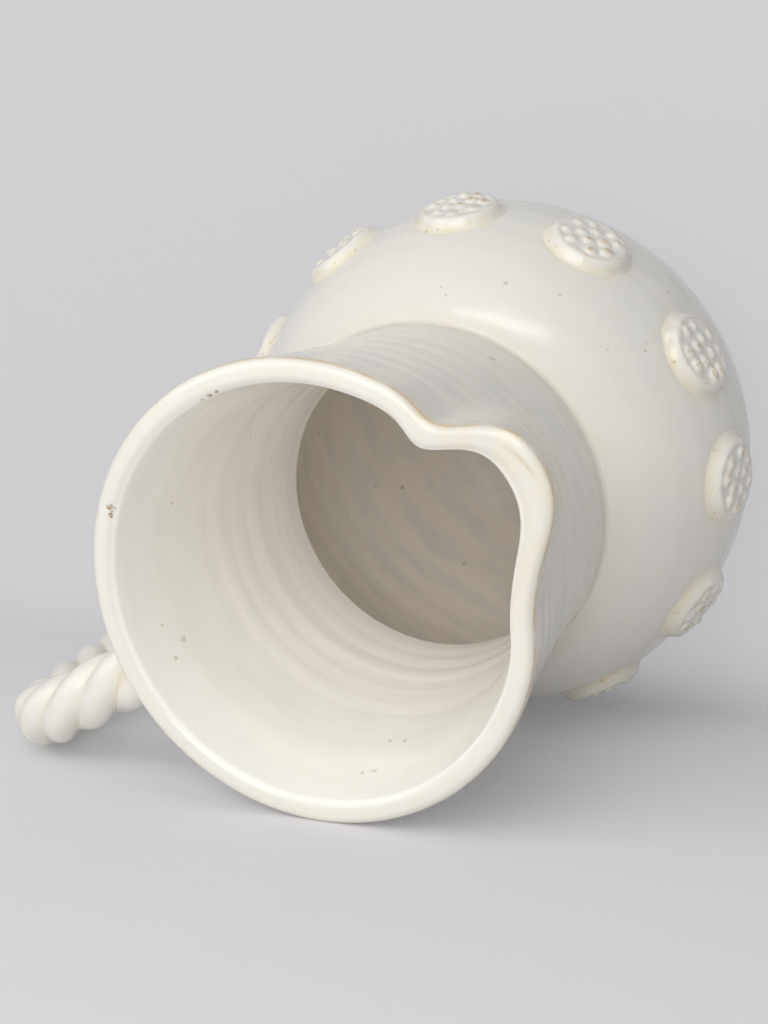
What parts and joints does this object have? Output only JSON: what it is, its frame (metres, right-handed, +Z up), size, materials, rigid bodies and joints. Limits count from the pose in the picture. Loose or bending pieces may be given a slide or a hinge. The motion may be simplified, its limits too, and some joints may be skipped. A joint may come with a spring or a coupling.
{
  "type": "earthenware jug",
  "caption": "White-glazed earthenware pouring jug with a globular belly, flared neck, pinched spout, twisted rope handle and a ring of stamped bosses",
  "frame": {"origin": "the middle of the flat underside of the foot", "axes": "+Z up along the thrown axis, -X towards the pouring spout, +X towards the rope handle"},
  "size_m": [0.2222, 0.1685, 0.2095],
  "materials": {
    "white_glaze": "glossy warm white glaze over earthenware",
    "stamped_glaze": "glossy white glaze that breaks to tan on the stamped nubs"
  },
  "bodies": {
    "root": {"belly": "white_glaze", "neck": "white_glaze", "handle_strand_1": "white_glaze", "handle_strand_2": "white_glaze", "handle_strand_3": "white_glaze", "handle_root_upper": "white_glaze", "handle_root_lower": "white_glaze", "boss_01": "stamped_glaze", "boss_02": "stamped_glaze", "boss_03": "stamped_glaze", "boss_04": "stamped_glaze", "boss_05": "stamped_glaze", "boss_06": "stamped_glaze", "boss_07": "stamped_glaze", "boss_08": "stamped_glaze", "boss_09": "stamped_glaze", "boss_10": "stamped_glaze", "boss_11": "stamped_glaze"}
  },
  "joints": []
}
